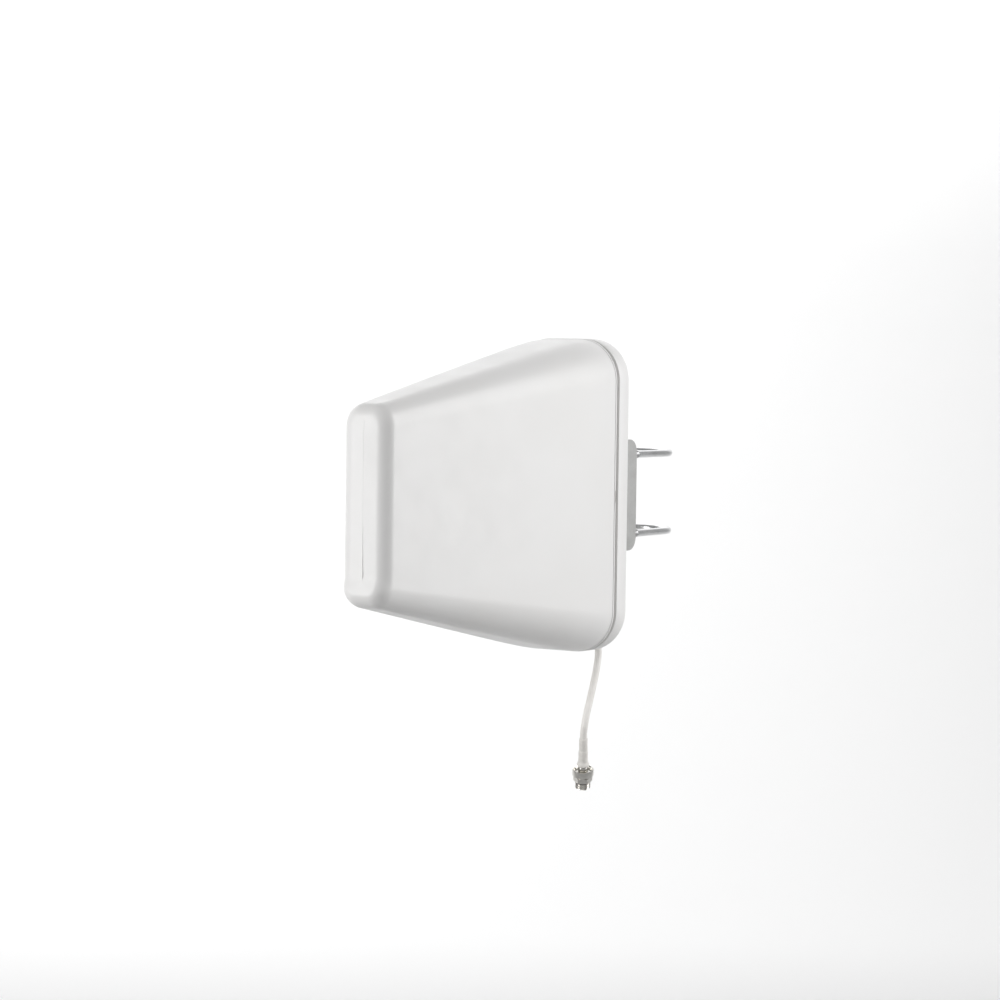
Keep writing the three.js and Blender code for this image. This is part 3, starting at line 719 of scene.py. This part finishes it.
def ubolt_path(z):
    path = []
    threaded = UBOLT_THREADED
    plain = UBOLT_LEG_X - threaded
    thread_steps, plain_steps, bend_steps = 250, 8, 48
    for i in range(thread_steps):
        path.append(Vector((UBOLT_LEG_X - threaded * i / thread_steps, UBOLT_LEG_Y, z)))
    for i in range(plain_steps):
        path.append(Vector((plain * (1 - i / plain_steps), UBOLT_LEG_Y, z)))
    for i in range(bend_steps):
        angle = math.pi / 2 + math.pi * i / bend_steps
        path.append(Vector((UBOLT_LEG_Y * math.cos(angle), UBOLT_LEG_Y * math.sin(angle), z)))
    for i in range(plain_steps):
        path.append(Vector((plain * i / plain_steps, -UBOLT_LEG_Y, z)))
    for i in range(thread_steps + 1):
        path.append(Vector((plain + threaded * i / thread_steps, -UBOLT_LEG_Y, z)))
    return path


def make_ubolt(level, z):
    path = ubolt_path(z)
    total = sum((b - a).length for a, b in zip(path, path[1:]))

    def radius(s, angle):
        near = min(s, total - s)
        if near < UBOLT_LEAD_IN:
            return UBOLT_RADIUS - UBOLT_TIP_DROP + near * 0.6
        if near > UBOLT_THREADED:
            return UBOLT_RADIUS
        phase = (s / UBOLT_PITCH + angle / (2 * math.pi)) % 1
        return UBOLT_RADIUS - UBOLT_THREAD_DEPTH * abs(2 * phase - 1) ** 1.2

    name = f"{level}_ubolt"
    return new_piece(f"{name}_rod", *tube(path, radius, 24), "steel", body=f"{name}_body",
                     replaces=[name], sharp=60)


def hex_ring(flats, count):
    """Radius of a hexagon at each of count even angles."""
    radii = []
    for i in range(count):
        turn = (2 * math.pi * i / count) % (math.pi / 3) - math.pi / 6
        radii.append(flats / 2 / math.cos(turn))
    return radii


def hexagon(axis, at, low, high, flats, bore, count=72):
    """A chamfered hexagon nut."""
    radii = hex_ring(flats, count)
    seat = flats / 2 * NUT_SEAT_SHARE
    slope = math.tan(math.radians(30))

    def loop(a, r_of):
        return [along(axis, at, a if not callable(a) else a(i), r_of(i), 2 * math.pi * i / count)
                for i in range(count)]

    def drop(i):
        return max(radii[i] - seat, 0) * slope

    loops = [
        loop(low + 0.4 * MM, lambda i: bore),
        loop(low, lambda i: bore + 0.4 * MM),
        loop(low, lambda i: seat),
        loop(lambda i: low + drop(i), lambda i: radii[i]),
        loop(lambda i: high - drop(i), lambda i: radii[i]),
        loop(high, lambda i: seat),
        loop(high, lambda i: bore + 0.4 * MM),
        loop(high - 0.4 * MM, lambda i: bore),
    ]
    return skin(loops, closed=True)


def make_nuts():
    for level in ("upper", "lower"):
        for hand in ("left", "right"):
            nut = f"{level}_{hand}_nut"
            low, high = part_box(nut)
            at = (0, (low.y + high.y) / 2, (low.z + high.z) / 2)
            nut_mesh = hexagon("x", at, low.x, high.x, NUT_FLATS, NUT_BORE)
            new_piece(f"{nut}_piece", *nut_mesh, "steel", body=f"{nut}_body", replaces=[nut], sharp=25)
            washer = f"{level}_{hand}_washer"
            low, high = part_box(washer)
            ring = [(low.x, WASHER_BORE), (low.x, WASHER_RADIUS),
                    (high.x, WASHER_RADIUS), (high.x, WASHER_BORE)]
            new_piece(f"{washer}_piece", *turned(rounded(ring, 0.2 * MM), "x", at, 48), "steel",
                      replaces=[washer])


ubolt_rods = []
for level_name in ("upper", "lower"):
    low_corner, high_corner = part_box(f"{level_name}_ubolt")
    ubolt_rods.append(make_ubolt(level_name, (low_corner.z + high_corner.z) / 2))
make_nuts()

# ---------------------------------------------------------------- gland and jack, profiles in millimetres


def ring_mm(profile, corner, steps=3):
    """A rounded closed profile from sizes in millimetres."""
    return rounded([(a * MM, r * MM) for a, r in profile], corner * MM, steps)


def make_gland():
    at = (BACK_X, 0, OUTLET_Z)
    bore = CABLE_RADIUS / MM + 0.25
    profile = [(-13, bore), (-13, 3.9)]
    for k in range(4):
        a = -12 + k * 2.1
        r = 3.95 + k * 0.3
        profile += [(a, r), (a + 1.2, r + 0.15), (a + 1.3, r - 0.45), (a + 1.9, r - 0.4)]
    profile += [(-3.6, 5.2), (-2.6, 8), (-0.3, 8), (-0.3, 4.9), (8, 4.9), (8, bore)]
    new_piece("gland", *turned(ring_mm(profile, 0.3), "x", at, 64), "housing", replaces=["cable_gland"])


def make_boot():
    profile = [(16.8, 2.5), (16.8, 3.9), (17.6, 4.3), (18.4, 4.2), (20.6, 3.3), (28.2, 3.2), (28.8, 2.95),
               (37.4, 2.9), (38, 2.7), (38, 2.5)]
    return new_piece("lead_boot", *turned(ring_mm(profile, 0.5, 4), "jack", JACK_AT, 48), "boot",
                     replaces=["cable_boot"])


def barrel_radius(a, angle):
    """Radius of the threaded barrel at distance a from its open end."""
    phase = (a / JACK_PITCH + angle / (2 * math.pi)) % 1
    depth = JACK_THREAD_DEPTH * max(0, abs(2 * phase - 1) * 1.25 - 0.25)
    lead_in = JACK_THREAD_DEPTH * (1 - min(a / (0.8 * MM), 1))
    return JACK_RADIUS - lead_in - depth


def make_jack():
    count = 72
    turn = [2 * math.pi * i / count for i in range(count)]
    loops = []
    steps = 80
    for k in range(steps + 1):
        a = JACK_THREADED * k / steps
        loops.append([along("jack", JACK_AT, a, barrel_radius(a, t), t) for t in turn])
    neck = [(4.75, 4.4), (10, 4.4)]
    cup = [(10, 7), (10.15, 7.25), (10.5, 7.4), (14.1, 7.4), (14.5, 7.3), (14.6, 7.05),
           (14.6, 6.5), (14.4, 6.3), (12.6, 5.8), (12.6, 3.4)]
    throat = [(16.2, 3.3), (16.4, 3.2), (16.4, 2.6), (12.3, 2.6), (12.3, 3.4), (0.4, 3.4), (0, 3.8)]
    for a, r in neck + cup + throat:
        loops.append([along("jack", JACK_AT, a * MM, r * MM, t) for t in turn])
    body = new_piece("jack_barrel", *skin(loops, closed=True), "nickel", replaces=["jack_body"], sharp=35)
    nut_mesh = hexagon("jack", JACK_AT, JACK_RADIUS, 9.3 * MM, 11.4 * MM, 4.6 * MM)
    nut = new_piece("jack_hexagon", *nut_mesh, "nickel", replaces=["jack_hex"], sharp=25)
    core_profile = [(1.2, 0.8), (1.2, 3.1), (11.8, 3.1), (11.8, 0.8)]
    core = new_piece("jack_core", *turned(ring_mm(core_profile, 0.3), "jack", JACK_AT, 40), "ptfe",
                     replaces=["jack_insulator"])
    return [body, nut, core]


make_gland()
boot = make_boot()
jack_pieces = make_jack()
HARDWARE = [*ubolt_rods, *jack_pieces, lead, boot]

# ---------------------------------------------------------------- CAD nodes that stay

SLOT_OF = {entry["node"]: entry["material_slot"] for entry in frame["record"]["subparts"]}
WELD_GAP = 0.000005
BEVELS = {"pole_bracket": 0.6, "pole_jaw": 0.3, "boom_cradle": 0.4, "boom_spacer": 0.4, "nose_support": 0.4}


def finish_cad_nodes():
    for name, node in frame["nodes"].items():
        material = FINISHES[SLOT_OF[name]]
        node.data.materials.clear()
        node.data.materials.append(material)
        if node.hide_render:
            continue
        weld = node.modifiers.new("weld", "WELD")
        weld.merge_threshold = WELD_GAP
        if name in BEVELS:
            flat = node.modifiers.new("flat", "DECIMATE")
            flat.decimate_type = "DISSOLVE"
            flat.angle_limit = math.radians(1)
            bevel = node.modifiers.new("bevel", "BEVEL")
            bevel.width = BEVELS[name] * MM
            bevel.segments = 3
            bevel.limit_method = "ANGLE"
            bevel.angle_limit = math.radians(35)
            bevel.harden_normals = True


finish_cad_nodes()

# ---------------------------------------------------------------- stage and light


SWEEP_DROP = 0.35
SWEEP_FRONT = 2.6
SWEEP_CURVE = -1.2
SWEEP_RADIUS = 0.8
SWEEP_TOP = 3.5
SWEEP_HALF_WIDTH = 4
WORLD_STRENGTH = 0.28


def make_stage():
    """A pale sweep: floor, curve and back wall in one sheet, square to the camera."""
    floor_z = cad_low.z - SWEEP_DROP
    away = math.pi / 2 - VIEW_ANGLE
    profile = [(SWEEP_FRONT, 0), (SWEEP_CURVE, 0)]
    steps = 12
    for k in range(1, steps + 1):
        angle = k / steps * math.pi / 2
        profile.append((SWEEP_CURVE - SWEEP_RADIUS * math.sin(angle), SWEEP_RADIUS * (1 - math.cos(angle))))
    profile.append((SWEEP_CURVE - SWEEP_RADIUS, SWEEP_TOP))
    vertices, faces = [], []
    turn = Matrix.Rotation(away, 3, "Z")
    for d, h in profile:
        for side in (-SWEEP_HALF_WIDTH, SWEEP_HALF_WIDTH):
            point = turn @ Vector((d, side, 0))
            vertices.append((point.x, point.y, floor_z + h))
    for k in range(len(profile) - 1):
        faces.append((2 * k, 2 * k + 1, 2 * k + 3, 2 * k + 2))
    mesh = bpy.data.meshes.new("sweep")
    mesh.from_pydata(vertices, [], faces)
    mesh.polygons.foreach_set("use_smooth", [True] * len(mesh.polygons))
    sweep = bpy.data.objects.new("sweep", mesh)
    bpy.context.scene.collection.objects.link(sweep)
    paint = Shader("sweep_paint", (0.93, 0.93, 0.93), 0.9)
    mesh.materials.append(paint.material)
    return sweep


def area_light(name, azimuth, elevation, distance, size, power):
    """An area light aimed at the housing; azimuth is measured from +X towards +Y."""
    data = bpy.data.lights.new(name, "AREA")
    data.shape = "RECTANGLE"
    data.size, data.size_y = size
    data.energy = power
    light = bpy.data.objects.new(name, data)
    a, e = math.radians(azimuth), math.radians(elevation)
    centre = Vector((BACK_X + HOUSING_LENGTH / 2, 0, 0))
    toward = Vector((math.cos(a) * math.cos(e), math.sin(a) * math.cos(e), math.sin(e)))
    light.location = centre + toward * distance
    light.rotation_euler = toward.to_track_quat("Z", "Y").to_euler()
    bpy.context.scene.collection.objects.link(light)
    return light


TOWARD_WALL = Vector((-math.sin(VIEW_ANGLE), -math.cos(VIEW_ANGLE), -0.5)).normalized()


def keep_off(light, collection):
    """Stops a light reaching what is in the collection."""
    linking = light.light_linking
    linking.receiver_collection = bpy.data.collections.new(light.name + "_skips")
    linking.receiver_collection.children.link(collection)
    linking.receiver_collection.collection_children[0].light_linking.link_state = "EXCLUDE"


def make_light(sweep):
    world = bpy.data.worlds.new("studio")
    world.use_nodes = True
    world.node_tree.nodes["Background"].inputs["Color"].default_value = (1, 1, 1, 1)
    world.node_tree.nodes["Background"].inputs["Strength"].default_value = WORLD_STRENGTH
    bpy.context.scene.world = world
    stage_only = bpy.data.collections.new("stage_only")
    stage_only.objects.link(sweep)
    for light in (
        area_light("left_soft", -28, 6, 1.6, (1.0, 1.6), 19),
        area_light("right_soft", 122, 17, 1.6, (1.0, 1.6), 21),
        area_light("top_back_soft", -120, 58, 1.6, (1.4, 1.0), 0.5),
    ):
        keep_off(light, stage_only)
    wash = area_light("sweep_wash", -120, 50, 1.9, (3.0, 0.8), 48)
    wash.rotation_euler = (-TOWARD_WALL).to_track_quat("Z", "Y").to_euler()
    wash.light_linking.receiver_collection = stage_only
    hardware = bpy.data.collections.new("hardware_only")
    for piece in HARDWARE:
        hardware.objects.link(piece)
    fill = area_light("hardware_fill", 35, 32, 1.4, (1.2, 1.2), 9)
    fill.light_linking.receiver_collection = hardware


make_light(make_stage())
bpy.context.scene.view_settings.view_transform = "Standard"
